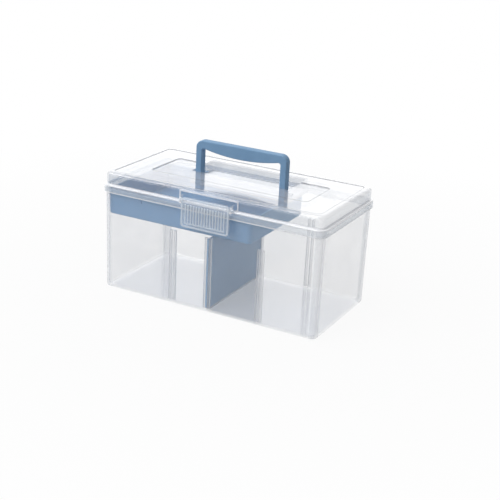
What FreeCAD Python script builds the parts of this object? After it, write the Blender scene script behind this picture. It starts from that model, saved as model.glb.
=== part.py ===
"""Clear storage box with a hinged lid, a front latch, a folding handle, a sliding tray and a divider.

Lengths are in millimetres. The origin is the centre of the base, X runs along the box to the right,
Y from front to back and Z up.
The handle stands upright, the lid and the latch are shut and the tray is at the left end.
"""
import FreeCAD, Part
import math
import os

Vector = FreeCAD.Vector
X_AXIS = Vector(1, 0, 0)
Y_AXIS = Vector(0, 1, 0)
QUARTER_TURN = math.pi / 2
PARALLEL_SHARE = 0.999

# Overall sizes, over the rim band of the lid
box_length = 290.0
box_depth = 145.0
lid_top_height = 145.0
lid_rise = 25.0
band_height = 10.0
band_corner_radius = 11.0
band_edge_radius = 1.2

# Gaps and fits
cut_overrun = 1.0
match_tolerance = 0.001
side_gap = 0.4
seat_gap = 0.3
pivot_clearance = 0.05
press_clearance = 0.01

# Box body
body_wall = 2.2
floor_thickness = 2.2
base_inset = 1.0
base_edge_radius = 3.0
floor_edge_radius = 3.0
rim_wall = 1.4
rim_step = 0.4
ledge_drop = 0.2
ledge_thickness = 1.8

# Rib pairs on the front and back walls
rib_width = 3.0
rib_reach = 3.0
rib_drop = 2.5
rib_root_share = 0.25
rib_pair_shares = (-0.166, 0.0, 0.237)

# Catch pad on the front wall
pad_width = 70.0
pad_drop = 20.5
pad_top_gap = 2.0
pad_inset = 0.3
pad_corner_radius = 3.0
keeper_width = 44.0
keeper_reach = 1.2
keeper_height = 1.6
keeper_drop = 14.4

# Lid shell
band_wall = 1.6
lid_wall = 2.0
lid_shoulder = 3.0
lid_edge_radius = 4.5
rim_frame_width = 7.5
frame_step = 0.6
frame_step_radius = 5.0
panel_end_margin = 42.0
panel_front = -30.0
panel_depth = 64.0
panel_step = 1.0
panel_corner_radius = 5.0

# Handle and its pocket in the lid
handle_width = 120.0
handle_thickness = 10.0
handle_reach = 46.0
handle_leg_width = 8.0
handle_bar_height = 9.0
handle_bow = 6.0
handle_corner_radius = 9.0
handle_inner_radius = 2.5
handle_edge_radius = 1.2
handle_tail = 11.5
handle_stub_radius = 2.5
handle_gap = 0.6
pocket_front = 0.4
pocket_side_gap = 5.0
pocket_corner_radius = 1.5

# Latch flap
latch_width = 62.0
latch_thickness = 2.5
latch_drop = 18.5
latch_barrel_radius = 3.0
latch_pivot_rise = 3.3
latch_pivot_reach = 1.6
latch_corner_radius = 4.0
latch_edge_radius = 0.6
latch_rim_width = 2.0
latch_stub_radius = 1.5
latch_ear_thickness = 2.5
latch_ear_radius = 3.6
latch_recess_width = 73.0
latch_recess_depth = 0.9
latch_recess_height = 10.5
hook_reach = 1.7
hook_height = 1.6
grip_rib_count = 15
grip_rib_width = 1.6
grip_rib_reach = 0.7
grip_field_width = 52.0
grip_margin = 5.5
grip_height = 21.5
grip_bar_height = 1.4

# Rear hinges
hinge_end_margin = 60.0
hinge_drop = 0.8
hinge_gap = 0.5
knuckle_radius = 3.4
lid_knuckle_width = 14.0
body_knuckle_width = 8.0
body_gusset = 11.0
hinge_pin_radius = 1.25

# Tray
tray_length = 194.0
tray_height = 30.4
tray_wall = 1.6
tray_floor = 1.6
tray_inset = 1.0
tray_edge_radius = 2.5
tray_gap = 0.9
flange_thickness = 1.5
flange_end_margin = 14.0
tray_notch_width = 1.6
tray_notch_height = 6.0
tray_notch_share = 0.25

# Divider
divider_thickness = 2.0
divider_lift = 3.0
divider_corner_radius = 4.5
divider_edge_radius = 0.5

# Body sizes that follow from the ones above
band_bottom_height = lid_top_height - lid_rise
rim_length = box_length - 2 * (band_wall + side_gap)
rim_depth = box_depth - 2 * (band_wall + side_gap)
rim_radius = band_corner_radius - band_wall - side_gap
band_top_height = band_bottom_height + band_height
shoulder_height = band_top_height - lid_wall
rim_top_height = shoulder_height - seat_gap
ledge_bottom_height = band_bottom_height - ledge_drop
ledge_top_height = ledge_bottom_height + ledge_thickness
wall_length = rim_length - 2 * rim_step
wall_depth = rim_depth - 2 * rim_step
wall_radius = rim_radius - rim_step
tray_top_height = ledge_top_height + seat_gap + flange_thickness
tray_bottom_height = tray_top_height - tray_height
rib_top_height = tray_bottom_height - rib_drop
pad_bottom_height = band_bottom_height - pad_drop
pad_top_height = band_bottom_height - pad_top_gap
keeper_bottom_height = band_bottom_height - keeper_drop

# Lid sizes that follow
lid_length = box_length - 2 * lid_shoulder
lid_depth = box_depth - 2 * lid_shoulder
lid_radius = band_corner_radius - lid_shoulder
panel_length = box_length - 2 * panel_end_margin
panel_height = lid_top_height - frame_step - panel_step
hollow_top_height = panel_height - lid_wall
handle_pivot_height = hollow_top_height - handle_thickness / 2 - handle_gap
handle_pivot_y = pocket_front + handle_gap + handle_thickness / 2
pocket_floor_height = handle_pivot_height - handle_thickness / 2 - handle_gap
pocket_back = handle_pivot_y + handle_reach + handle_gap
pocket_length = handle_width + 2 * pocket_side_gap
pocket_depth = pocket_back - pocket_front
pocket_middle = (pocket_back + pocket_front) / 2
panel_middle = panel_front + panel_depth / 2

# Latch and hinge places that follow
latch_pivot_height = band_top_height + latch_pivot_rise
latch_pivot_y = -(box_depth / 2 + latch_pivot_reach)
latch_face_y = latch_pivot_y - latch_barrel_radius
latch_inner_y = latch_face_y + latch_thickness
latch_top_height = latch_pivot_height + latch_barrel_radius
latch_bottom_height = band_bottom_height - latch_drop
grip_bottom_height = latch_bottom_height + grip_margin
grip_top_height = grip_bottom_height + grip_height
hook_top_height = keeper_bottom_height - seat_gap
pad_face_y = -(box_depth / 2 - pad_inset)
hinge_spread = box_length - 2 * hinge_end_margin
hinge_y = box_depth / 2 + knuckle_radius + hinge_gap
hinge_height = band_bottom_height - hinge_drop
hinge_length = lid_knuckle_width + 2 * (side_gap + body_knuckle_width)


def wall_inset(height):
    """How far the drafted wall stands in at a height, from its place under the ledge."""
    return base_inset * (ledge_bottom_height - height) / ledge_bottom_height


def inner_half_depth(height):
    """Distance from the middle to the inner face of the front or back wall."""
    return wall_depth / 2 - wall_inset(height) - body_wall


def rounded_wire(length, depth, radius, height, y_middle=0, x_middle=0):
    """Closed outline of a rectangle with round corners, level at a height."""
    x = length / 2 - radius
    y = depth / 2 - radius
    centres = [(x, -y), (x, y), (-x, y), (-x, -y)]

    def corner_point(index, share):
        angle = QUARTER_TURN * (index - 1 + share)
        across = x_middle + centres[index][0] + radius * math.cos(angle)
        along = y_middle + centres[index][1] + radius * math.sin(angle)
        return Vector(across, along, height)

    edges = []
    for index in range(len(centres)):
        following = (index + 1) % len(centres)
        arc = Part.Arc(corner_point(index, 0), corner_point(index, 1 / 2), corner_point(index, 1))
        edges.append(arc.toShape())
        edges.append(Part.LineSegment(corner_point(index, 1), corner_point(following, 0)).toShape())
    return Part.Wire(edges)


def rounded_prism(length, depth, radius, low, high, y_middle=0, x_middle=0):
    """Upright block with round vertical corners."""
    outline = rounded_wire(length, depth, radius, low, y_middle, x_middle)
    return Part.Face(outline).extrude(Vector(0, 0, high - low))


def drafted_block(length, depth, radius, inset, low, high, x_middle=0):
    """Block with round corners whose sides lean in towards the bottom."""
    bottom = rounded_wire(length - 2 * inset, depth - 2 * inset, radius - inset, low, 0, x_middle)
    top = rounded_wire(length, depth, radius, high, 0, x_middle)
    return Part.makeLoft([bottom, top], True, True)


def block(x_range, y_range, z_range):
    """Plain block between two corners."""
    low = Vector(x_range[0], y_range[0], z_range[0])
    size = [high - start for start, high in (x_range, y_range, z_range)]
    return Part.makeBox(size[0], size[1], size[2], low)


def rod(radius, x_range, y, z):
    """Round bar along X."""
    return Part.makeCylinder(radius, x_range[1] - x_range[0], Vector(x_range[0], y, z), X_AXIS)


def profile(points, x_range):
    """Bar along X with an outline given by (y, z) points."""
    corners = [Vector(x_range[0], y, z) for y, z in points]
    outline = Part.makePolygon(corners + corners[:1])
    return Part.Face(outline).extrude(Vector(x_range[1] - x_range[0], 0, 0))


def level_edges(shape, height):
    """Edges that lie wholly at a height."""
    found = []
    for edge in shape.Edges:
        box = edge.BoundBox
        if abs(box.ZMin - height) < match_tolerance and abs(box.ZMax - height) < match_tolerance:
            found.append(edge)
    return found


def edges_along(shape, axis):
    """Straight edges that run along an axis."""
    found = []
    for edge in shape.Edges:
        straight = isinstance(edge.Curve, Part.Line)
        if straight and abs(edge.tangentAt(edge.FirstParameter).dot(axis)) > PARALLEL_SHARE:
            found.append(edge)
    return found


def rounded_plate(x_range, y_range, z_range, radius):
    """Upright plate facing the front, with round corners."""
    plate = block(x_range, y_range, z_range)
    return plate.makeFillet(radius, edges_along(plate, Y_AXIS))


def both_sides(start, end):
    """The same stretch of X on the left and on the right."""
    return [(-end, -start), (start, end)]


def make_rib_pair(x_middle, side):
    """Two upright ribs that hold a divider's edge, on the front (-1) or back (1) wall."""
    low = floor_thickness / 2
    foot = inner_half_depth(low)
    head = inner_half_depth(rib_top_height)
    root = rib_root_share * body_wall
    lower = [(foot - rib_reach, low), (foot + root, low)]
    upper = [(head + root, rib_top_height), (head - rib_reach, rib_top_height)]
    points = [(side * y, z) for y, z in lower + upper]
    slot = divider_thickness / 2 + seat_gap
    pair = []
    for start, end in both_sides(slot, slot + rib_width):
        pair.append(profile(points, (x_middle + start, x_middle + end)))
    return pair


def make_body_hinge_ears():
    """Rear ears that carry the hinge pins, two for each hinge."""
    seat = wall_depth / 2 - body_wall / 2
    web_top = band_bottom_height - side_gap
    points = [
        (seat, hinge_height - body_gusset),
        (hinge_y + knuckle_radius, hinge_height),
        (hinge_y, web_top),
        (seat, web_top),
    ]
    ears = []
    for hinge_x in (-hinge_spread / 2, hinge_spread / 2):
        for start, end in both_sides(lid_knuckle_width / 2 + side_gap, hinge_length / 2):
            x_range = (hinge_x + start, hinge_x + end)
            ears.append(profile(points, x_range).fuse(rod(knuckle_radius, x_range, hinge_y, hinge_height)))
    return ears


def make_box_body():
    """Clear tub: drafted walls, rim and tray ledge, ribs, catch pad and hinge ears."""
    shell = drafted_block(wall_length, wall_depth, wall_radius, base_inset, 0, ledge_bottom_height)
    shell = shell.makeFillet(base_edge_radius, level_edges(shell, 0))
    rim = rounded_prism(rim_length, rim_depth, rim_radius, ledge_bottom_height, rim_top_height)
    pad = rounded_plate(
        (-pad_width / 2, pad_width / 2),
        (pad_face_y, -inner_half_depth(pad_top_height) - body_wall / 2),
        (pad_bottom_height, pad_top_height),
        pad_corner_radius,
    )
    keeper_top = keeper_bottom_height + keeper_height
    keeper = profile(
        [(pad_face_y, keeper_bottom_height), (pad_face_y - keeper_reach, keeper_bottom_height),
         (pad_face_y - keeper_reach, keeper_bottom_height + keeper_height / 2), (pad_face_y, keeper_top)],
        (-keeper_width / 2, keeper_width / 2),
    )
    body = shell.multiFuse([rim, pad, keeper] + make_body_hinge_ears())

    hollow_length = wall_length - 2 * body_wall
    hollow_depth = wall_depth - 2 * body_wall
    hollow_radius = wall_radius - body_wall
    hollow_inset = wall_inset(floor_thickness)
    hollow = drafted_block(
        hollow_length, hollow_depth, hollow_radius, hollow_inset, floor_thickness, ledge_bottom_height
    )
    hollow = hollow.makeFillet(floor_edge_radius, level_edges(hollow, floor_thickness))
    mouth = rounded_prism(hollow_length, hollow_depth, hollow_radius, ledge_bottom_height, rim_top_height)
    rim_hollow = rounded_prism(
        rim_length - 2 * rim_wall, rim_depth - 2 * rim_wall, rim_radius - rim_wall,
        ledge_top_height, rim_top_height + cut_overrun,
    )
    body = body.cut([hollow, mouth, rim_hollow])

    ribs = []
    for share in rib_pair_shares:
        for side in (-1, 1):
            ribs += make_rib_pair(share * wall_length, side)
    body = body.multiFuse(ribs)

    bores = []
    for hinge_x in (-hinge_spread / 2, hinge_spread / 2):
        x_range = (hinge_x - hinge_length / 2 - cut_overrun, hinge_x + hinge_length / 2 + cut_overrun)
        bores.append(rod(hinge_pin_radius + press_clearance, x_range, hinge_y, hinge_height))
    return body.cut(bores).removeSplitter()


def make_hinge_pin(hinge_x):
    """Plain pin of one rear hinge, held in the body's ears."""
    x_range = (hinge_x - hinge_length / 2, hinge_x + hinge_length / 2)
    return rod(hinge_pin_radius, x_range, hinge_y, hinge_height)


def make_lid_shell():
    """Crown and rim band of the lid, hollow from below, with the stepped top."""
    band = rounded_prism(box_length, box_depth, band_corner_radius, band_bottom_height, band_top_height)
    band_edges = level_edges(band, band_bottom_height) + level_edges(band, band_top_height)
    band = band.makeFillet(band_edge_radius, band_edges)
    crown = rounded_prism(lid_length, lid_depth, lid_radius, band_bottom_height, lid_top_height)
    crown = crown.makeFillet(lid_edge_radius, level_edges(crown, lid_top_height))
    skirt_hollow = rounded_prism(
        rim_length + 2 * side_gap, rim_depth + 2 * side_gap, rim_radius + side_gap,
        band_bottom_height - cut_overrun, shoulder_height,
    )
    crown_hollow = rounded_prism(
        lid_length - 2 * lid_wall, lid_depth - 2 * lid_wall, lid_radius - lid_wall,
        band_bottom_height, hollow_top_height,
    )
    inner_edge_radius = lid_edge_radius - lid_wall
    crown_hollow = crown_hollow.makeFillet(inner_edge_radius, level_edges(crown_hollow, hollow_top_height))
    frame_panel = rounded_prism(
        lid_length - 2 * rim_frame_width, lid_depth - 2 * rim_frame_width, frame_step_radius,
        lid_top_height - frame_step, lid_top_height + cut_overrun,
    )
    panel = rounded_prism(
        panel_length, panel_depth, panel_corner_radius,
        panel_height, lid_top_height + cut_overrun, panel_middle,
    )
    return band.fuse(crown).cut([skirt_hollow, crown_hollow, frame_panel, panel])


def add_handle_pocket(lid):
    """Pocket for the folded handle, with pivot holes in its ends and slots for the legs' tails."""
    tub = rounded_prism(
        pocket_length + 2 * lid_wall, pocket_depth + 2 * lid_wall, pocket_corner_radius + lid_wall,
        pocket_floor_height - lid_wall, panel_height, pocket_middle,
    )
    hollow = rounded_prism(
        pocket_length, pocket_depth, pocket_corner_radius,
        pocket_floor_height, lid_top_height + cut_overrun, pocket_middle,
    )
    pivot_hole = rod(
        handle_stub_radius + pivot_clearance,
        (-pocket_length / 2 - lid_wall - cut_overrun, pocket_length / 2 + lid_wall + cut_overrun),
        handle_pivot_y, handle_pivot_height,
    )
    cuts = [hollow, pivot_hole]
    tail_reach = handle_tail + handle_gap
    leg_inner = handle_width / 2 - handle_leg_width
    for x_range in both_sides(leg_inner - handle_gap, handle_width / 2 + handle_gap):
        y_range = (handle_pivot_y - tail_reach, handle_pivot_y + handle_thickness / 2 + handle_gap)
        cuts.append(block(x_range, y_range, (handle_pivot_height - tail_reach, hollow_top_height)))
    return lid.fuse(tub).cut(cuts)


def add_latch_ears(lid):
    """Shallow recess in the front wall and the two ears that carry the latch's stubs."""
    wall_y = -lid_depth / 2
    recess = block(
        (-latch_recess_width / 2, latch_recess_width / 2),
        (wall_y - cut_overrun, wall_y + latch_recess_depth),
        (band_top_height, band_top_height + latch_recess_height),
    )
    lid = lid.cut(recess)
    ears = []
    ear_start = latch_width / 2 + side_gap
    seat = wall_y + (latch_recess_depth + lid_wall) / 2
    for x_range in both_sides(ear_start, ear_start + latch_ear_thickness):
        foot_low = band_top_height - band_edge_radius
        head_high = latch_pivot_height + latch_ear_radius
        foot = block(x_range, (latch_pivot_y - latch_ear_radius, seat), (foot_low, latch_pivot_height))
        head = block(x_range, (latch_pivot_y, seat), (latch_pivot_height, head_high))
        ears += [foot, head, rod(latch_ear_radius, x_range, latch_pivot_y, latch_pivot_height)]
    ear_end = ear_start + latch_ear_thickness + cut_overrun
    bore = rod(latch_stub_radius + pivot_clearance, (-ear_end, ear_end), latch_pivot_y, latch_pivot_height)
    return lid.multiFuse(ears).cut(bore)


def add_lid_hinge_ears(lid):
    """Rear ears that turn on the hinge pins, one for each hinge."""
    ears = []
    bores = []
    for hinge_x in (-hinge_spread / 2, hinge_spread / 2):
        x_range = (hinge_x - lid_knuckle_width / 2, hinge_x + lid_knuckle_width / 2)
        seat = box_depth / 2 - band_wall / 2
        ears.append(rod(knuckle_radius, x_range, hinge_y, hinge_height))
        ears.append(block(x_range, (seat, hinge_y), (band_bottom_height, hinge_height + knuckle_radius)))
        bore_range = (x_range[0] - cut_overrun, x_range[1] + cut_overrun)
        bores.append(rod(hinge_pin_radius + pivot_clearance, bore_range, hinge_y, hinge_height))
    return lid.multiFuse(ears).cut(bores)


def make_lid():
    """Clear lid with its pocket, latch ears and hinge ears."""
    lid = add_handle_pocket(make_lid_shell())
    lid = add_latch_ears(lid)
    return add_lid_hinge_ears(lid).removeSplitter()


def make_latch():
    """Clear flap: rimmed plate, barrel with stubs, grip ribs and the hook that snaps under the keeper."""
    half = latch_width / 2
    rim_face_y = latch_face_y - grip_rib_reach
    plate = rounded_plate(
        (-half, half), (rim_face_y, latch_inner_y),
        (latch_bottom_height, latch_top_height), latch_corner_radius,
    )
    front_edges = [edge for edge in plate.Edges if abs(edge.BoundBox.YMax - rim_face_y) < match_tolerance]
    plate = plate.makeFillet(latch_edge_radius, front_edges)
    plate = plate.cut(rounded_plate(
        (latch_rim_width - half, half - latch_rim_width), (rim_face_y - cut_overrun, latch_face_y),
        (latch_bottom_height + latch_rim_width, latch_top_height - latch_rim_width),
        latch_corner_radius - latch_rim_width,
    ))
    barrel_half = half - latch_corner_radius
    barrel = rod(latch_barrel_radius, (-barrel_half, barrel_half), latch_pivot_y, latch_pivot_height)
    stub_half = half + side_gap + latch_ear_thickness
    stubs = rod(latch_stub_radius, (-stub_half, stub_half), latch_pivot_y, latch_pivot_height)
    hook_bottom = hook_top_height - hook_height
    hook = profile(
        [(latch_inner_y, hook_bottom), (latch_inner_y + hook_reach, hook_bottom + hook_height / 2),
         (latch_inner_y + hook_reach, hook_top_height), (latch_inner_y, hook_top_height)],
        (-keeper_width / 2, keeper_width / 2),
    )
    raised = (rim_face_y, latch_inner_y)
    step = (grip_field_width - grip_rib_width) / (grip_rib_count - 1)
    field_start = -grip_field_width / 2
    ribs = []
    for index in range(grip_rib_count):
        start = field_start + index * step
        rib = block((start, start + grip_rib_width), raised, (grip_bottom_height, grip_top_height))
        front_edges = [edge for edge in rib.Edges if edge.BoundBox.YMax < latch_face_y]
        ribs.append(rib.makeChamfer(grip_rib_reach / 2, front_edges))
    bar_bottom = grip_bottom_height - grip_bar_height
    bar = block((field_start, -field_start), raised, (bar_bottom, grip_bottom_height))
    return plate.multiFuse([barrel, stubs, hook, bar] + ribs).removeSplitter()


def make_handle():
    """Carrying handle: arched bar with a bowed grip, two legs, round tails and pivot stubs."""
    half = handle_width / 2
    inner = half - handle_leg_width
    base = handle_pivot_height
    top = base + handle_reach
    spring = top - handle_bar_height
    bend = handle_corner_radius * (1 - math.sqrt(1 / 2))
    front = handle_pivot_y - handle_thickness / 2

    def at(x, z):
        return Vector(x, front, z)

    left_bend = Part.Arc(
        at(-half, top - handle_corner_radius),
        at(bend - half, top - bend),
        at(handle_corner_radius - half, top),
    )
    right_bend = Part.Arc(
        at(half - handle_corner_radius, top),
        at(half - bend, top - bend),
        at(half, top - handle_corner_radius),
    )
    grip_bow = Part.Arc(at(inner, spring), at(0, spring - handle_bow), at(-inner, spring))
    lines = [
        (at(-half, base), at(-half, top - handle_corner_radius)),
        (at(handle_corner_radius - half, top), at(half - handle_corner_radius, top)),
        (at(half, top - handle_corner_radius), at(half, base)),
        (at(half, base), at(inner, base)),
        (at(inner, base), at(inner, spring)),
        (at(-inner, spring), at(-inner, base)),
        (at(-inner, base), at(-half, base)),
    ]
    edges = [Part.LineSegment(start, end).toShape() for start, end in lines]
    edges += [left_bend.toShape(), right_bend.toShape(), grip_bow.toShape()]
    outline = Part.Wire(Part.__sortEdges__(edges))
    arch = Part.Face(outline).extrude(Vector(0, handle_thickness, 0))
    across = edges_along(arch, Y_AXIS)
    inner_corners = [edge for edge in across if abs(edge.BoundBox.ZMax - spring) < match_tolerance]
    arch = arch.makeFillet(handle_inner_radius, inner_corners)
    faced = [edge for edge in arch.Edges if edge.BoundBox.YLength < match_tolerance]
    rim = [edge for edge in faced if edge.BoundBox.ZMax > base + match_tolerance]
    arch = arch.makeFillet(handle_edge_radius, rim)

    pieces = []
    tail_centre = base - handle_tail + handle_thickness / 2
    y_range = (front, front + handle_thickness)
    for x_range in both_sides(inner, half):
        pieces.append(block(x_range, y_range, (tail_centre, base)))
        pieces.append(rod(handle_thickness / 2, x_range, handle_pivot_y, tail_centre))
    for x_range in both_sides(half - handle_leg_width / 2, pocket_length / 2 + lid_wall):
        pieces.append(rod(handle_stub_radius, x_range, handle_pivot_y, handle_pivot_height))
    return arch.multiFuse(pieces).removeSplitter()


def make_tray():
    """Open tray with drafted walls and front and back flanges that rest on the body's ledge."""
    inner_length = wall_length - 2 * body_wall
    depth = wall_depth - 2 * (body_wall + tray_gap)
    radius = wall_radius - body_wall
    left = tray_gap - inner_length / 2
    x_middle = left + tray_length / 2
    low = tray_bottom_height
    shell = drafted_block(tray_length, depth, radius, tray_inset, low, tray_top_height, x_middle)
    shell = shell.makeFillet(tray_edge_radius, level_edges(shell, low))
    flange_depth = rim_depth - 2 * (rim_wall + side_gap)
    flange = block(
        (left + flange_end_margin, left + tray_length - flange_end_margin),
        (-flange_depth / 2, flange_depth / 2),
        (tray_top_height - flange_thickness, tray_top_height),
    )
    hollow = drafted_block(
        tray_length - 2 * tray_wall, depth - 2 * tray_wall, radius - tray_wall, tray_inset,
        low + tray_floor, tray_top_height + cut_overrun, x_middle,
    )
    notch_x = left + tray_notch_share * tray_length
    notch_top = ledge_bottom_height - seat_gap
    notch = block(
        (notch_x - tray_notch_width / 2, notch_x + tray_notch_width / 2),
        (-depth / 2 - cut_overrun, -depth / 2 + tray_wall + tray_inset + cut_overrun),
        (notch_top - tray_notch_height, notch_top),
    )
    return shell.fuse(flange).cut([hollow, notch]).removeSplitter()


def make_divider():
    """Upright panel across the box, held between the ribs of the middle pair."""
    low = floor_thickness + seat_gap
    high = tray_bottom_height - divider_lift - seat_gap
    bottom = inner_half_depth(low) - side_gap
    top = inner_half_depth(high) - side_gap
    x_range = (-divider_thickness / 2, divider_thickness / 2)
    panel = profile([(-bottom, low), (bottom, low), (top, high), (-top, high)], x_range)
    corners = [edge for edge in edges_along(panel, X_AXIS) if edge.BoundBox.ZMax < low + match_tolerance]
    panel = panel.makeFillet(divider_corner_radius, corners)
    top_edges = [edge for edge in level_edges(panel, high) if edge.BoundBox.YLength > match_tolerance]
    return panel.makeFillet(divider_edge_radius, top_edges)


def main():
    """Build every piece and write one file for each."""
    pieces = {
        "box_body": make_box_body(),
        "lid": make_lid(),
        "latch": make_latch(),
        "handle": make_handle(),
        "tray": make_tray(),
        "divider": make_divider(),
        "hinge_pin_left": make_hinge_pin(-hinge_spread / 2),
        "hinge_pin_right": make_hinge_pin(hinge_spread / 2),
    }
    os.makedirs("parts", exist_ok=True)
    for name, shape in pieces.items():
        print(name, "valid", shape.isValid(), "solids", len(shape.Solids), "volume", round(shape.Volume, 1))
        shape.exportStep("parts/" + name + ".step")
    print("handle pivot", handle_pivot_y, handle_pivot_height)
    print("latch pivot", latch_pivot_y, latch_pivot_height)
    print("hinge axis", hinge_y, hinge_height)
    print("tray travel", wall_length - 2 * (body_wall + tray_gap) - tray_length)


main()
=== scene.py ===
"""Looks of the clear storage box: finishes of its moulded pieces, pale floor, soft light and camera."""
import logging
import math
from dataclasses import dataclass
from enum import Enum

import bmesh
import bpy
from mathutils import Matrix, Vector

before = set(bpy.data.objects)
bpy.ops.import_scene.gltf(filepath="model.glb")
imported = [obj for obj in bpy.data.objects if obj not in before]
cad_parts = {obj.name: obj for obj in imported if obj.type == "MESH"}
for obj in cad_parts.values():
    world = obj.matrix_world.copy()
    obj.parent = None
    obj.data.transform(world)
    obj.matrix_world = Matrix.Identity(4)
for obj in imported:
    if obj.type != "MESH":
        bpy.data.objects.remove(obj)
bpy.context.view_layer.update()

LOG = logging.getLogger("clear_storage_box")
Colour = tuple[float, float, float]
Place = tuple[float, float, float]
Span = tuple[float, float]
Socket = bpy.types.NodeSocket
Term = float | Socket

EVEN: Place = (1.0, 1.0, 1.0)
WHITE: Colour = (1.0, 1.0, 1.0)
FROST: Colour = (0.950, 0.960, 0.985)
NOISE_RANGE: Span = (0.3, 0.7)
ZONE_FADE = 0.0003


class Axis(Enum):
    """Axis of the shared frame, and whether its places count alike to both sides of the middle."""

    ALONG = ("X", False)
    ENDS = ("X", True)
    DEEP = ("Y", False)
    ACROSS = ("Y", True)
    UP = ("Z", False)


class Haze(Enum):
    """How milky a clear moulding is: share of light that one face scatters, seen square on."""

    WALL = 0.060
    GRIP = 0.08
    SHELL = 0.09
    BAND = 0.15
    PLATE = 0.16
    CORNER = 0.22
    RIB = 0.36
    CREST = 0.42
    # Painted highlight: white haze of the lines along the lid's edges.
    EDGE_HIGHLIGHT = 0.52
    FOOT_LINE = 0.70


def work_out(tree: bpy.types.NodeTree, operation: str, first: Term, second: Term = 0.0) -> Socket:
    """Work out a value from one or two others.

    Args:
        tree: Node tree of a material or of the world.
        operation: The sum's name.
        first: Number or output.
        second: Number or output.

    Returns:
        The result's output.
    """
    node = tree.nodes.new("ShaderNodeMath")
    node.operation = operation
    for socket, value in zip(node.inputs, (first, second)):
        if isinstance(value, Socket):
            tree.links.new(value, socket)
        else:
            socket.default_value = value
    return node.outputs["Value"]


def seen_by_camera(tree: bpy.types.NodeTree) -> Socket:
    """One for rays that reach the camera straight or through gloss and glass, zero for light on the piece.

    Args:
        tree: Node tree of a material or of the world.

    Returns:
        The mask's output.
    """
    path = tree.nodes.new("ShaderNodeLightPath")
    seen = path.outputs["Is Camera Ray"]
    for kind in ("Is Glossy Ray", "Is Transmission Ray"):
        seen = work_out(tree, "MAXIMUM", seen, path.outputs[kind])
    return work_out(tree, "GREATER_THAN", seen, path.outputs["Diffuse Depth"])


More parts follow.
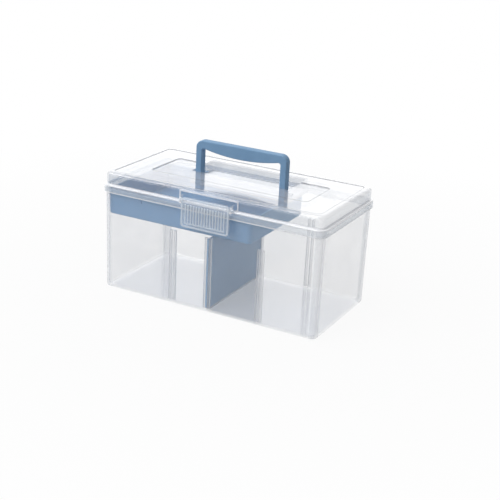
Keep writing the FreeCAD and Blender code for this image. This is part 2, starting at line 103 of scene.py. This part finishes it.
class Graph:
    """Node graph of one material."""

    def __init__(self, name: str) -> None:
        """Start an empty material.

        Args:
            name: The material's name.
        """
        self.material = bpy.data.materials.new(name)
        self.material.use_nodes = True
        self.tree = self.material.node_tree
        self.tree.nodes.clear()
        self.output = self.add("ShaderNodeOutputMaterial")

    def add(self, kind: str, **values: object) -> bpy.types.Node:
        """Add a node and set its inputs.

        Args:
            kind: The node's type name.
            values: Input names, with underscores for spaces, and their values.

        Returns:
            The new node.
        """
        node = self.tree.nodes.new(kind)
        for name, value in values.items():
            node.inputs[name.replace("_", " ")].default_value = value
        return node

    def link(self, source: Socket, target: Socket) -> None:
        """Join an output to an input."""
        self.tree.links.new(source, target)

    def show(self, shader: Socket) -> bpy.types.Material:
        """Put a shader on the surface.

        Args:
            shader: The shader's output.

        Returns:
            The finished material.
        """
        self.link(shader, self.output.inputs["Surface"])
        return self.material

    def figure(self, operation: str, first: Term, second: Term = 0.0) -> Socket:
        """Work out a value from one or two others."""
        return work_out(self.tree, operation, first, second)

    def coordinates(self, stretch: Place = EVEN) -> Socket:
        """Object coordinates, stretched along the axes.

        Args:
            stretch: Scale along X, Y and Z.

        Returns:
            The vector output.
        """
        source = self.add("ShaderNodeTexCoord")
        mapping = self.add("ShaderNodeMapping", Scale=stretch)
        self.link(source.outputs["Object"], mapping.inputs["Vector"])
        return mapping.outputs["Vector"]

    def places(self) -> bpy.types.NodeOutputs:
        """Object coordinates as separate values.

        Returns:
            The outputs X, Y and Z.
        """
        split = self.add("ShaderNodeSeparateXYZ")
        self.link(self.coordinates(), split.inputs["Vector"])
        return split.outputs

    def noise(self, scale: float, detail: float, stretch: Place = EVEN) -> Socket:
        """Smooth noise on the piece.

        Args:
            scale: Cells to the metre.
            detail: Octaves.
            stretch: Scale along X, Y and Z.

        Returns:
            The noise value's output.
        """
        node = self.add("ShaderNodeTexNoise", Scale=scale, Detail=detail)
        self.link(self.coordinates(stretch), node.inputs["Vector"])
        return node.outputs["Fac"]

    def spread(self, value: Socket, low: float, high: float, stretch: Span = NOISE_RANGE) -> Socket:
        """Spread a stretch of a value over a range.

        Args:
            value: Noise or other value.
            low: Result at the start of the stretch.
            high: Result at its end.
            stretch: Values where the stretch starts and ends.

        Returns:
            The ranged value's output.
        """
        start, end = stretch
        node = self.add("ShaderNodeMapRange", From_Min=start, From_Max=end, To_Min=low, To_Max=high)
        self.link(value, node.inputs["Value"])
        return node.outputs["Result"]

    def zone(self, axis: Axis, low: float, high: float, fade: float) -> Socket:
        """One between two places along an axis of the piece, zero elsewhere.

        Args:
            axis: The axis.
            low: Lower place in metres.
            high: Upper place in metres.
            fade: Length over which the zone fades at its ends, in metres.

        Returns:
            The mask's output.
        """
        letter, both_sides = axis.value
        place = self.places()[letter]
        if both_sides:
            place = self.figure("ABSOLUTE", place)
        rising = self.spread(place, 0.0, 1.0, (low - fade, low))
        falling = self.spread(place, 1.0, 0.0, (high, high + fade))
        return self.figure("MULTIPLY", rising, falling)

    def blend(self, value: Socket, first: Colour, second: Colour) -> Socket:
        """Run between two colours.

        Args:
            value: Noise output.
            first: Colour where the noise is low.
            second: Colour where the noise is high.

        Returns:
            The colour output.
        """
        node = self.add("ShaderNodeValToRGB")
        for stop, place, colour in zip(node.color_ramp.elements, NOISE_RANGE, (first, second)):
            stop.position = place
            stop.color = (*colour, 1.0)
        self.link(value, node.inputs["Fac"])
        return node.outputs["Color"]

    def shade(self, share: Socket, first: Socket, second: Colour) -> Socket:
        """Run from a colour output to a plain colour.

        Args:
            share: Share of the plain colour.
            first: Colour output.
            second: The plain colour.

        Returns:
            The colour output.
        """
        node = self.add("ShaderNodeMix")
        node.data_type = "RGBA"
        factor, start, end = (socket for socket in node.inputs if socket.enabled)
        self.link(share, factor)
        self.link(first, start)
        end.default_value = (*second, 1.0)
        return next(socket for socket in node.outputs if socket.enabled)

    def facing(self) -> Socket:
        """How far a face turns away from the view, from zero square on to one edge on."""
        return self.add("ShaderNodeLayerWeight", Blend=0.5).outputs["Facing"]

    def slanted(self, haze: Socket, steepest: float = 0.06) -> Socket:
        """Haze along the slanted way through a face, which is longer than the straight one.

        Args:
            haze: Haze of the face seen square on.
            steepest: Least share of the face that a slanted view sees.

        Returns:
            The slanted haze's output.
        """
        square = self.figure("MAXIMUM", self.figure("SUBTRACT", 1.0, self.facing()), steepest)
        way = self.figure("DIVIDE", 1.0, square)
        passed = self.figure("POWER", self.figure("SUBTRACT", 1.0, haze), way)
        return self.figure("SUBTRACT", 1.0, passed)

    def mirrored(self, square_on: float = 0.04, growth: float = 5.0) -> Socket:
        """Share of light that a face mirrors, growing towards a grazing view alike from both sides.

        Args:
            square_on: Share that the face mirrors seen square on.
            growth: Power by which the share grows.

        Returns:
            The share's output.
        """
        grazing = self.figure("POWER", self.facing(), growth)
        return self.spread(grazing, square_on, 1.0, (0.0, 1.0))

    def mix(self, share: Socket, first: Socket, second: Socket) -> Socket:
        """Mix two shaders.

        Args:
            share: Share of the second shader.
            first: First shader's output.
            second: Second shader's output.

        Returns:
            The mixed shader's output.
        """
        node = self.add("ShaderNodeMixShader")
        for socket, source in zip(node.inputs, (share, first, second)):
            self.link(source, socket)
        return node.outputs["Shader"]

    def relief(self, height: Socket, strength: float, depth: float) -> Socket:
        """Bump from a height.

        Args:
            height: Height output.
            strength: Share of the bump that shows.
            depth: Height of the bump in metres.

        Returns:
            The normal output.
        """
        node = self.add("ShaderNodeBump", Strength=strength, Distance=depth)
        self.link(height, node.inputs["Height"])
        return node.outputs["Normal"]


@dataclass(frozen=True)
class Region:
    """Block of a moulding between places on some axes.

    Attributes:
        limits: Axes and the two places on each, in metres.
    """

    limits: tuple[tuple[Axis, float, float], ...]

    def mask(self, graph: Graph) -> Socket:
        """One inside the region and zero outside it.

        Args:
            graph: Graph of the plastic's material.

        Returns:
            The mask's output.
        """
        first, *others = self.limits
        mask = graph.zone(*first, ZONE_FADE)
        for limit in others:
            mask = graph.figure("MULTIPLY", mask, graph.zone(*limit, ZONE_FADE))
        return mask


@dataclass(frozen=True)
class StepShadeLine:
    """Small step that runs round a level face on a rounded rectangle, marked with a thin dark line of
    painted shade.

    Attributes:
        half_length: Half the rectangle's length along the box, in metres.
        half_depth: Half its depth from front to back.
        radius: Radius of its corners.
        middle: Place of its middle from front to back.
        full: Distance from the outline up to which the line has its full tone.
        faded: Distance from the outline at which the line has faded away.
        lowest: Least height at which the line shows.
    """

    half_length: float
    half_depth: float
    radius: float
    middle: float = 0.0
    full: float = 0.0004
    faded: float = 0.0006
    lowest: float = 0.1432

    def mask(self, graph: Graph) -> Socket:
        """One on the line of painted shade and zero elsewhere.

        Args:
            graph: Graph of the plastic's material.

        Returns:
            The mask's output.
        """
        places = graph.places()
        squares = []
        for letter, middle, half in (("X", 0.0, self.half_length), ("Y", self.middle, self.half_depth)):
            offset = graph.figure("ABSOLUTE", graph.figure("SUBTRACT", places[letter], middle))
            beyond = graph.figure("MAXIMUM", graph.figure("SUBTRACT", offset, half - self.radius), 0.0)
            squares.append(graph.figure("POWER", beyond, 2.0))
        reach = graph.figure("POWER", graph.figure("ADD", *squares), 0.5)
        apart = graph.figure("ABSOLUTE", graph.figure("SUBTRACT", reach, self.radius))
        line = graph.spread(apart, 1.0, 0.0, (self.full, self.faded))
        level = graph.figure("GREATER_THAN", places["Z"], self.lowest)
        return graph.figure("MULTIPLY", line, level)


@dataclass(frozen=True)
class MilkyZone:
    """Region of a clear moulding that is milkier: thicker or frosted places, and places that carry painted
    shade or painted highlight.

    Attributes:
        haze: Haze of one face there.
        region: Where it lies.
        milk: Colour of its haze, where that differs from the rest; on the tub's floor and the lid's top it
            is painted shade.
        gloss: How much better than the rest it mirrors, where it does.
    """

    haze: Haze
    region: Region
    milk: Colour | None = None
    gloss: float | None = None

    def share(self, graph: Graph) -> Socket:
        """Haze inside the zone and none outside it."""
        return graph.figure("MULTIPLY", self.region.mask(graph), self.haze.value)

    def gloss_here(self, graph: Graph) -> Socket:
        """Gain of the mirrored light inside the zone, and one outside it."""
        return graph.spread(self.region.mask(graph), 1.0, self.gloss, (0.0, 1.0))


@dataclass(frozen=True)
class ClearPlastic:
    """Clear moulded plastic with faint flow marks, milkier where it is seen at a slant, with dark lines of
    painted shade at its steps.

    Attributes:
        name: Finish name.
        haze: Haze of one face.
        zones: Places where it is milkier, some of them carrying painted shade or painted highlight.
        milk: Colour of the haze where it is denser.
        pale: Colour of the haze where it is thinner.
        steps: Small steps in its top, where dark lines of painted shade take the place of the mirror.
        tint: What passes through one face.
        step_shade_colour: Colour of the dark line of painted shade at a step.
        step_shade_share: Share of light that this painted shade line stops.
        roughness: Roughness of the clearest and of the haziest places.
        unevenness: Thinnest and densest haze, as shares of the plain one.
        cloud: Cells to the metre and octaves of the haze's clouds.
        flow: Cells to the metre and octaves of the flow marks.
        flow_stretch: Scale of the flow marks along X, Y and Z.
        flow_strength: Share of the flow marks' bump that shows.
        flow_depth: Height of the flow marks in metres.
        index: Refractive index.
    """

    name: str
    haze: Haze
    zones: tuple[MilkyZone, ...]
    milk: Colour
    pale: Colour
    steps: tuple[StepShadeLine, ...] = ()
    tint: Colour = (0.965, 0.965, 0.968)
    step_shade_colour: Colour = (0.26, 0.28, 0.31)
    step_shade_share: float = 0.55
    roughness: Span = (0.06, 0.12)
    unevenness: Span = (0.85, 1.15)
    cloud: Span = (22.0, 3.0)
    flow: Span = (60.0, 2.0)
    flow_stretch: Place = (0.4, 0.4, 1.0)
    flow_strength: float = 0.03
    flow_depth: float = 0.0004
    index: float = 1.49

    def milkiness(self, graph: Graph, cloud: Socket) -> tuple[Socket, Socket]:
        """Haze of the faces and its colour, with the painted shade at the steps left out.

        Args:
            graph: Graph of the material.
            cloud: Noise of the haze's clouds.

        Returns:
            The outputs of the slanted haze and of the colour.
        """
        thin, dense = (share * self.haze.value for share in self.unevenness)
        haze = graph.spread(cloud, thin, dense)
        colour = graph.blend(cloud, self.pale, self.milk)
        for zone in self.zones:
            haze = graph.figure("MAXIMUM", haze, zone.share(graph))
            if zone.milk:
                colour = graph.shade(zone.region.mask(graph), colour, zone.milk)
        return graph.slanted(haze), colour

    def mirror(self, graph: Graph) -> Socket:
        """Share of light that the faces mirror, with the painted shade at the steps left out.

        Args:
            graph: Graph of the material.

        Returns:
            The share's output.
        """
        mirror = graph.mirrored()
        for zone in self.zones:
            if zone.gloss:
                gained = graph.figure("MULTIPLY", mirror, zone.gloss_here(graph))
                mirror = graph.figure("MINIMUM", gained, 1.0)
        return mirror

    def material(self) -> bpy.types.Material:
        """Build the finish.

        Returns:
            The material.
        """
        graph = Graph(self.name)
        body = graph.add("ShaderNodeBsdfPrincipled", IOR=self.index)
        gloss = graph.add("ShaderNodeBsdfGlossy", Color=(*WHITE, 1.0))
        through = graph.add("ShaderNodeBsdfTransparent", Color=(*self.tint, 1.0))
        cloud = graph.noise(*self.cloud)
        marks = graph.noise(*self.flow, self.flow_stretch)
        flow = graph.relief(marks, self.flow_strength, self.flow_depth)
        roughness = graph.spread(cloud, *self.roughness)
        for layer in (body, gloss):
            graph.link(roughness, layer.inputs["Roughness"])
            graph.link(flow, layer.inputs["Normal"])
        haze, colour = self.milkiness(graph, cloud)
        mirror = self.mirror(graph)
        # Painted shade: each step outline gets a dark, hazy line that mirrors nothing.
        for step in self.steps:
            line = step.mask(graph)
            colour = graph.shade(line, colour, self.step_shade_colour)
            haze = graph.figure("MAXIMUM", haze, graph.figure("MULTIPLY", line, self.step_shade_share))
            mirror = graph.figure("MULTIPLY", mirror, graph.figure("SUBTRACT", 1.0, line))
        graph.link(colour, body.inputs["Base Color"])
        milky = graph.mix(haze, through.outputs["BSDF"], body.outputs["BSDF"])
        return graph.show(graph.mix(mirror, milky, gloss.outputs["BSDF"]))


@dataclass(frozen=True)
class SatinPlastic:
    """Opaque moulded plastic with a fine mould grain.

    Attributes:
        name: Finish name.
        shade: Colour of the darker places.
        light: Colour of the lighter places.
        shine: Specular level.
        roughness: Lowest and highest roughness.
        cloud: Cells to the metre and octaves of the colour's clouds.
        grain: Cells to the metre and octaves of the grain.
        grain_strength: Share of the grain's bump that shows.
        grain_depth: Height of the grain in metres.
        index: Refractive index.
    """

    name: str
    shade: Colour
    light: Colour
    shine: float = 0.5
    roughness: Span = (0.44, 0.56)
    cloud: Span = (35.0, 4.0)
    grain: Span = (1500.0, 2.0)
    grain_strength: float = 0.25
    grain_depth: float = 0.00006
    index: float = 1.46

    def material(self) -> bpy.types.Material:
        """Build the finish.

        Returns:
            The material.
        """
        graph = Graph(self.name)
        body = graph.add("ShaderNodeBsdfPrincipled", IOR=self.index, Specular_IOR_Level=self.shine)
        cloud = graph.noise(*self.cloud)
        grain = graph.noise(*self.grain)
        graph.link(graph.blend(cloud, self.shade, self.light), body.inputs["Base Color"])
        graph.link(graph.spread(grain, *self.roughness), body.inputs["Roughness"])
        graph.link(graph.relief(grain, self.grain_strength, self.grain_depth), body.inputs["Normal"])
        return graph.show(body.outputs["BSDF"])


@dataclass(frozen=True)
class PinSteel:
    """Drawn steel wire with marks along its length.

    Attributes:
        name: Finish name.
        shade: Colour of the drawing marks.
        light: Colour between them.
        roughness: Lowest and highest roughness.
        marks: Cells to the metre and octaves of the marks.
        stretch: Scale of the marks along X, Y and Z.
        mark_strength: Share of the marks' bump that shows.
        mark_depth: Height of the marks in metres.
    """

    name: str = "drawn_pin_steel"
    shade: Colour = (0.46, 0.47, 0.49)
    light: Colour = (0.68, 0.69, 0.70)
    roughness: Span = (0.22, 0.42)
    marks: Span = (1800.0, 3.0)
    stretch: Place = (0.03, 1.0, 1.0)
    mark_strength: float = 0.2
    mark_depth: float = 0.00002

    def material(self) -> bpy.types.Material:
        """Build the finish.

        Returns:
            The material.
        """
        graph = Graph(self.name)
        body = graph.add("ShaderNodeBsdfPrincipled", Metallic=1.0)
        marks = graph.noise(*self.marks, self.stretch)
        graph.link(graph.blend(marks, self.shade, self.light), body.inputs["Base Color"])
        graph.link(graph.spread(marks, *self.roughness), body.inputs["Roughness"])
        graph.link(graph.relief(marks, self.mark_strength, self.mark_depth), body.inputs["Normal"])
        return graph.show(body.outputs["BSDF"])


def dress(node: str, finish: bpy.types.Material) -> None:
    """Give a moulded piece its finish.

    Args:
        node: The piece's name in the frame.
        finish: The material.
    """
    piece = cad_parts[node]
    for slot in piece.material_slots:
        slot.material = finish
    LOG.info("%s: %s", node, finish.name)


@dataclass
class BoxBody:
    """Clear tub with its two hinge pins.

    Attributes:
        rib_places: Where the rib pairs stand along the box, in metres.
        rib_half: Half the width of a rib pair.
        rib_depth: How far from the middle plane the ribs start and end.
        rib_height: Height of the floor under the ribs and of their tops.
        pad_depth: How far from the middle plane the catch pad starts and ends.
        pad_height: Heights of the pad's lower and upper edge.
        corner_start: Least distance of a corner stripe from the middle planes, along and across.
        corner_end: Its greatest distance.
        base_half: Half the length and half the depth of the tub's floor.
        base_height: Heights between which both faces of the floor lie.
        base_gloss: How much better than the walls the floor mirrors.
        base_shade_milk: Darker bluish colour of the floor's haze, painted shade that darkens the tub's
            floor.
        foot_place: How far from the divider's middle the white line on the floor beside its foot starts and
            ends.
        foot_depth: How far the white line runs to the front and to the back.
        foot_height: Heights between which the floor's upper face lies.
        tint: What passes through one face of the tub.
        milk: Colour of the tub's haze where it is denser.
        pale: Colour of the tub's haze where it is thinner.
        steel: Finish of the pins.
        pins: Names of the pins.
    """

    rib_places: tuple[float, ...] = (-0.0473, 0.0, 0.0676)
    rib_half: float = 0.0044
    rib_depth: Span = (0.0632, 0.0665)
    rib_height: Span = (0.0030, 0.0910)
    pad_depth: Span = (0.0708, 0.0735)
    pad_height: Span = (0.0990, 0.1185)
    corner_start: Span = (0.1335, 0.0615)
    corner_end: Span = (0.1440, 0.0720)
    base_half: Span = (0.1370, 0.0640)
    base_height: Span = (-0.0005, 0.0028)
    base_gloss: float = 1.8
    base_shade_milk: Colour = (0.450, 0.510, 0.630)
    foot_place: Span = (0.0012, 0.0030)
    foot_depth: float = 0.0630
    foot_height: Span = (0.0018, 0.0026)
    tint: Colour = (0.994, 0.994, 0.995)
    milk: Colour = (0.780, 0.815, 0.875)
    pale: Colour = (0.810, 0.840, 0.885)
    steel: PinSteel = PinSteel()
    pins: tuple[str, ...] = ("hinge_pin_left", "hinge_pin_right")

    def ribs(self) -> list[MilkyZone]:
        """Frosted rib pairs on the front and back walls.

        Returns:
            The ribs' zones.
        """
        zones = []
        for place in self.rib_places:
            width = (Axis.ALONG, place - self.rib_half, place + self.rib_half)
            region = Region((width, (Axis.ACROSS, *self.rib_depth), (Axis.UP, *self.rib_height)))
            zones.append(MilkyZone(Haze.RIB, region, FROST))
        return zones

    def base(self) -> list[MilkyZone]:
        """Glossy floor of the tub with painted shade in its haze, and on it a white line beside the
        divider's foot.

        Returns:
            The zones of the floor and of the line.
        """
        length, depth = self.base_half
        sheet = Region((
            (Axis.ENDS, 0.0, length),
            (Axis.ACROSS, 0.0, depth),
            (Axis.UP, *self.base_height),
        ))
        # Frosted white line on the tub floor beside the divider's foot.
        foot_line = Region((
            (Axis.ENDS, *self.foot_place),
            (Axis.DEEP, -self.foot_depth, self.foot_depth),
            (Axis.UP, *self.foot_height),
        ))
        return [
            # Painted shade: darker bluish haze on the tub's floor.
            MilkyZone(Haze.PLATE, sheet, self.base_shade_milk, self.base_gloss),
            MilkyZone(Haze.FOOT_LINE, foot_line, FROST),
        ]

    def wall(self) -> ClearPlastic:
        """Clear plastic of the tub, milkier in its ribs, catch pad, corners and floor, with painted shade
        in the floor's haze.

        Returns:
            The finish.
        """
        pad = Region(((Axis.ACROSS, *self.pad_depth), (Axis.UP, *self.pad_height)))
        corners = Region(tuple(zip((Axis.ENDS, Axis.ACROSS), self.corner_start, self.corner_end)))
        edges = [MilkyZone(Haze.GRIP, pad), MilkyZone(Haze.CORNER, corners)]
        zones = tuple(self.ribs() + edges + self.base())
        return ClearPlastic("clear_wall", Haze.WALL, zones, self.milk, self.pale, tint=self.tint)

    def dress(self) -> None:
        """Dress the tub and its pins."""
        dress("box_body", self.wall().material())
        steel = self.steel.material()
        for pin in self.pins:
            dress(pin, steel)


@dataclass
class LidGroup:
    """Clear lid with its latch flap and the blue carrying handle.

    Attributes:
        band_height: Heights of the rim band's lower and upper edge, in metres.
        band_highlight: Height of the milky line of painted highlight along each edge of the band.
        top_height: Heights between which the lid's top lies.
        top_shade_milk: Greyer colour of the top's haze, painted shade that darkens the lid's top.
        frame_height: Heights between which the raised frame of the lid's top lies.
        steps: Outlines of the frame's inner edge and of the sunk panel, along which dark lines of painted
            shade run.
        window_half: Half the width of the recess above the latch.
        window_height: Heights of the recess's lower and upper edge.
        window_highlight: Width of the milky line of painted highlight round the recess.
        window_depth: Places of the lid's front wall, from its face inwards.
        shell_milk_tray_light: Colour of the lid's haze where it is denser: the plastic's faint tint with
            painted blue light from the tray.
        shell_pale_tray_light: Colour of the lid's haze where it is thinner: the plastic's faint tint with
            painted blue light from the tray.
        crest_depth: How far from the middle plane the latch's rim and ribs stand.
        flap_milk_tray_light: Colour of the latch's haze where it is denser: the plastic's faint tint with
            painted blue light from the tray.
        flap_pale_tray_light: Colour of the latch's haze where it is thinner: the plastic's faint tint with
            painted blue light from the tray.
        grip: Finish of the handle.
    """

    band_height: Span = (0.1195, 0.1300)
    band_highlight: float = 0.0016
    top_height: Span = (0.1410, 0.1455)
    top_shade_milk: Colour = (0.720, 0.735, 0.770)
    frame_height: Span = (0.1448, 0.1455)
    # Dark lines of painted shade run along these outlines.
    steps: tuple[StepShadeLine, ...] = (
        StepShadeLine(0.1345, 0.0620, 0.0050),
        StepShadeLine(0.1030, 0.0320, 0.0050, middle=0.0020),
    )
    window_half: float = 0.0365
    window_height: Span = (0.1300, 0.1405)
    window_highlight: float = 0.0018
    window_depth: Span = (-0.0700, -0.0684)
    # Partly painted light: the blue in the lid's and latch's haze stands for light through the blue tray.
    shell_milk_tray_light: Colour = (0.810, 0.900, 0.995)
    shell_pale_tray_light: Colour = (0.860, 0.930, 0.995)
    crest_depth: Span = (0.0773, 0.0790)
    flap_milk_tray_light: Colour = (0.770, 0.870, 0.985)
    flap_pale_tray_light: Colour = (0.840, 0.910, 0.990)
    grip: SatinPlastic = SatinPlastic(
        "blue_handle_plastic", (0.180, 0.312, 0.480), (0.213, 0.352, 0.526), shine=0.1
    )

    def edge_highlights(self) -> list[MilkyZone]:
        """Milky white lines of painted highlight along the band's edges and round the recess above the
        latch.

        Returns:
            The lines' zones.
        """
        low, high = self.band_height
        bottom, top = self.window_height
        wall = (Axis.DEEP, *self.window_depth)
        side = (Axis.ENDS, self.window_half, self.window_half + self.window_highlight)
        across = (Axis.ENDS, 0.0, self.window_half + self.window_highlight)
        # Painted highlight: frosted white lines where the edges catch light.
        regions = [
            Region(((Axis.UP, low, low + self.band_highlight),)),
            Region(((Axis.UP, high - self.band_highlight, high + self.band_highlight / 2),)),
            Region((side, wall, (Axis.UP, bottom, top + self.window_highlight))),
            Region((across, wall, (Axis.UP, top, top + self.window_highlight))),
        ]
        return [MilkyZone(Haze.EDGE_HIGHLIGHT, region, FROST) for region in regions]

    def shell(self) -> ClearPlastic:
        """Clear plastic of the lid, milkier in its rim band and frame, with painted highlight lines along
        its edges, painted shade on its top, dark lines of painted shade at its steps and painted blue light
        from the tray in its haze.

        Returns:
            The finish.
        """
        levels = [
            MilkyZone(Haze.BAND, Region(((Axis.UP, *self.band_height),))),
            # Painted shade: greyer haze on the lid's top.
            MilkyZone(Haze.SHELL, Region(((Axis.UP, *self.top_height),)), self.top_shade_milk),
            MilkyZone(Haze.PLATE, Region(((Axis.UP, *self.frame_height),))),
        ]
        zones = tuple(levels + self.edge_highlights())
        return ClearPlastic(
            "clear_lid_shell", Haze.SHELL, zones, self.shell_milk_tray_light, self.shell_pale_tray_light, self.steps
        )

    def flap(self) -> ClearPlastic:
        """Clear plastic of the latch, milkier on its rim and grip ribs."""
        crests = MilkyZone(Haze.CREST, Region(((Axis.ACROSS, *self.crest_depth),)))
        return ClearPlastic("clear_latch_flap", Haze.GRIP, (crests,), self.flap_milk_tray_light, self.flap_pale_tray_light)

    def dress(self) -> None:
        """Dress the lid, the latch and the handle."""
        dress("lid", self.shell().material())
        dress("latch", self.flap().material())
        dress("handle", self.grip.material())


@dataclass
class Inserts:
    """Blue tray under the lid and the blue divider below it.

    Attributes:
        bowl: Finish of the tray, a stronger blue than the handle's: painted light that makes up for the
            light the milky walls and lid keep from it.
        panel: Finish of the divider, a lighter blue than the handle's: painted light on its side that lies
            in shade.
    """

    # Painted light: the tray's blue is lighter and stronger than the plastic's own.
    bowl: SatinPlastic = SatinPlastic("blue_tray_plastic_painted_light", (0.134, 0.325, 0.570), (0.160, 0.362, 0.618))
    # Painted light: the divider's blue is lighter than the plastic's own.
    panel: SatinPlastic = SatinPlastic(
        "blue_divider_plastic_painted_light", (0.205, 0.382, 0.600), (0.232, 0.418, 0.645)
    )

    def dress(self) -> None:
        """Dress the tray and the divider."""
        dress("tray", self.bowl.material())
        dress("divider", self.panel.material())


@dataclass(frozen=True)
class Softbox:
    """Soft rectangular lamp.

    Attributes:
        name: The lamp's name.
        place: Where it hangs, in metres.
        size: Width and height of its face in metres.
        radiance: Brightness of its face, where 1 is white.
    """

    name: str
    place: Place
    size: Span
    radiance: float

    def hang(self, aim: Vector) -> None:
        """Hang the lamp.

        Args:
            aim: Point that it faces, in metres.
        """
        width, height = self.size
        data = bpy.data.lights.new(self.name, "AREA")
        data.shape = "RECTANGLE"
        data.size = width
        data.size_y = height
        data.energy = self.radiance * math.pi * width * height
        lamp = bpy.data.objects.new(self.name, data)
        lamp.location = self.place
        lamp.rotation_euler = (aim - Vector(self.place)).to_track_quat("-Z", "Y").to_euler()
        bpy.context.scene.collection.objects.link(lamp)


@dataclass
class Studio:
    """Pale floor, soft light and the camera.

    Attributes:
        floor_half: Half the floor's side in metres.
        floor_drop: How far the floor lies under the box.
        floor_shade: Colour of the floor's darker places.
        floor_light: Colour of the floor's lighter places.
        floor_cloud: Cells to the metre and octaves of the floor's clouds.
        floor_roughness: Roughness of the floor.
        glow: Share of plain white in the floor that the camera sees near the box, beside its lit colour.
        fade: Distances from the box's middle between which the floor runs into plain white.
        sky: Strength of the even light from all sides.
        lamps: The soft lamps.
        lamp_aim: Point that the lamps face, in metres.
        clear_layers: Most clear faces that a ray passes.
        aim: Point that the camera looks at, in metres.
        azimuth: Camera's turn from the front to the right, in degrees.
        elevation: Camera's height angle in degrees.
        roll: Camera's tilt about its own axis in degrees.
        reach: Distance from the aim in metres.
        focal: Focal length in pixels of the picture.
        frame_side: Side of the picture in pixels.
        sensor: Sensor width in millimetres.
    """

    floor_half: float = 30.0
    floor_drop: float = 0.0003
    floor_shade: Colour = (0.61, 0.61, 0.615)
    floor_light: Colour = (0.64, 0.64, 0.645)
    floor_cloud: Span = (3.0, 2.0)
    floor_roughness: float = 0.9
    glow: float = 0.93
    fade: Span = (0.16, 0.70)
    sky: float = 0.36
    lamps: tuple[Softbox, ...] = (
        Softbox("key_softbox", (-1.1, -1.5, 1.7), (1.4, 1.4), 5.0),
        Softbox("top_softbox", (-0.4, -0.3, 2.2), (1.4, 1.2), 3.0),
        Softbox("side_softbox", (1.8, -0.4, 1.0), (1.2, 1.2), 0.4),
        Softbox("back_softbox", (-0.86, 1.66, 0.95), (2.6, 1.5), 0.66),
    )
    lamp_aim: Place = (0.0, 0.0, 0.08)
    clear_layers: int = 64
    aim: Place = (0.04409, -0.0475, 0.080)
    azimuth: float = 27.36
    elevation: float = 20.43
    roll: float = 2.96
    reach: float = 1.2384
    focal: float = 1089.3
    frame_side: float = 500.0
    sensor: float = 36.0

    def floor_finish(self) -> bpy.types.Material:
        """Pale matt floor that keeps the box's shadow and runs to plain white with distance.

        Returns:
            The material.
        """
        graph = Graph("pale_floor")
        body = graph.add("ShaderNodeBsdfPrincipled", Roughness=self.floor_roughness, Specular_IOR_Level=0.0)
        cloud = graph.noise(*self.floor_cloud)
        graph.link(graph.blend(cloud, self.floor_shade, self.floor_light), body.inputs["Base Color"])
        white = graph.add("ShaderNodeEmission", Strength=1.0)
        reach = graph.add("ShaderNodeVectorMath")
        reach.operation = "LENGTH"
        graph.link(graph.coordinates(), reach.inputs[0])
        whitening = graph.spread(reach.outputs["Value"], self.glow, 1.0, self.fade)
        share = graph.figure("MULTIPLY", seen_by_camera(graph.tree), whitening)
        return graph.show(graph.mix(share, body.outputs["BSDF"], white.outputs["Emission"]))

    def build_floor(self) -> None:
        """Lay the pale floor under the box."""
        mesh = bpy.data.meshes.new("studio_floor")
        sheet = bmesh.new()
        bmesh.ops.create_grid(sheet, x_segments=2, y_segments=2, size=self.floor_half)
        bmesh.ops.translate(sheet, verts=sheet.verts, vec=(0.0, 0.0, -self.floor_drop))
        sheet.to_mesh(mesh)
        sheet.free()
        mesh.materials.append(self.floor_finish())
        floor = bpy.data.objects.new("studio_floor", mesh)
        bpy.context.scene.collection.objects.link(floor)

    def light_world(self) -> None:
        """Even white surroundings that the clear plastic shows, and weaker light on everything else."""
        world = bpy.data.worlds.new("white_surroundings")
        bpy.context.scene.world = world
        world.use_nodes = True
        tree = world.node_tree
        tree.nodes.clear()
        strength = tree.nodes.new("ShaderNodeMapRange")
        strength.inputs["To Min"].default_value = self.sky
        strength.inputs["To Max"].default_value = 1.0
        tree.links.new(seen_by_camera(tree), strength.inputs["Value"])
        glow = tree.nodes.new("ShaderNodeBackground")
        glow.inputs["Color"].default_value = (*WHITE, 1.0)
        tree.links.new(strength.outputs["Result"], glow.inputs["Strength"])
        output = tree.nodes.new("ShaderNodeOutputWorld")
        tree.links.new(glow.outputs["Background"], output.inputs["Surface"])

    def place_camera(self) -> None:
        """Set the camera at the photograph's angle."""
        turn, rise, tilt = (math.radians(angle) for angle in (self.azimuth, self.elevation, self.roll))
        back = Vector((math.sin(turn) * math.cos(rise), -math.cos(turn) * math.cos(rise), math.sin(rise)))
        level = Vector((math.cos(turn), math.sin(turn), 0.0))
        upright = back.cross(level)
        right = level * math.cos(tilt) + upright * math.sin(tilt)
        up = upright * math.cos(tilt) - level * math.sin(tilt)
        data = bpy.data.cameras.new("photo_camera")
        data.sensor_width = self.sensor
        data.lens = self.focal / self.frame_side * self.sensor
        camera = bpy.data.objects.new("photo_camera", data)
        turned = Matrix((right, up, back)).transposed().to_4x4()
        camera.matrix_world = Matrix.Translation(Vector(self.aim) + back * self.reach) @ turned
        bpy.context.scene.collection.objects.link(camera)
        bpy.context.scene.camera = camera

    def build(self) -> None:
        """Set up the floor, the light and the camera."""
        self.build_floor()
        self.light_world()
        for lamp in self.lamps:
            lamp.hang(Vector(self.lamp_aim))
        self.place_camera()
        scene = bpy.context.scene
        scene.view_settings.view_transform = "Standard"
        scene.cycles.transparent_max_bounces = self.clear_layers


def main() -> None:
    """Dress every sub-assembly, set the studio up and report."""
    logging.basicConfig(level=logging.INFO, format="%(name)s %(message)s")
    for part in (BoxBody(), LidGroup(), Inserts()):
        part.dress()
    Studio().build()


if __name__ == "__main__":
    main()
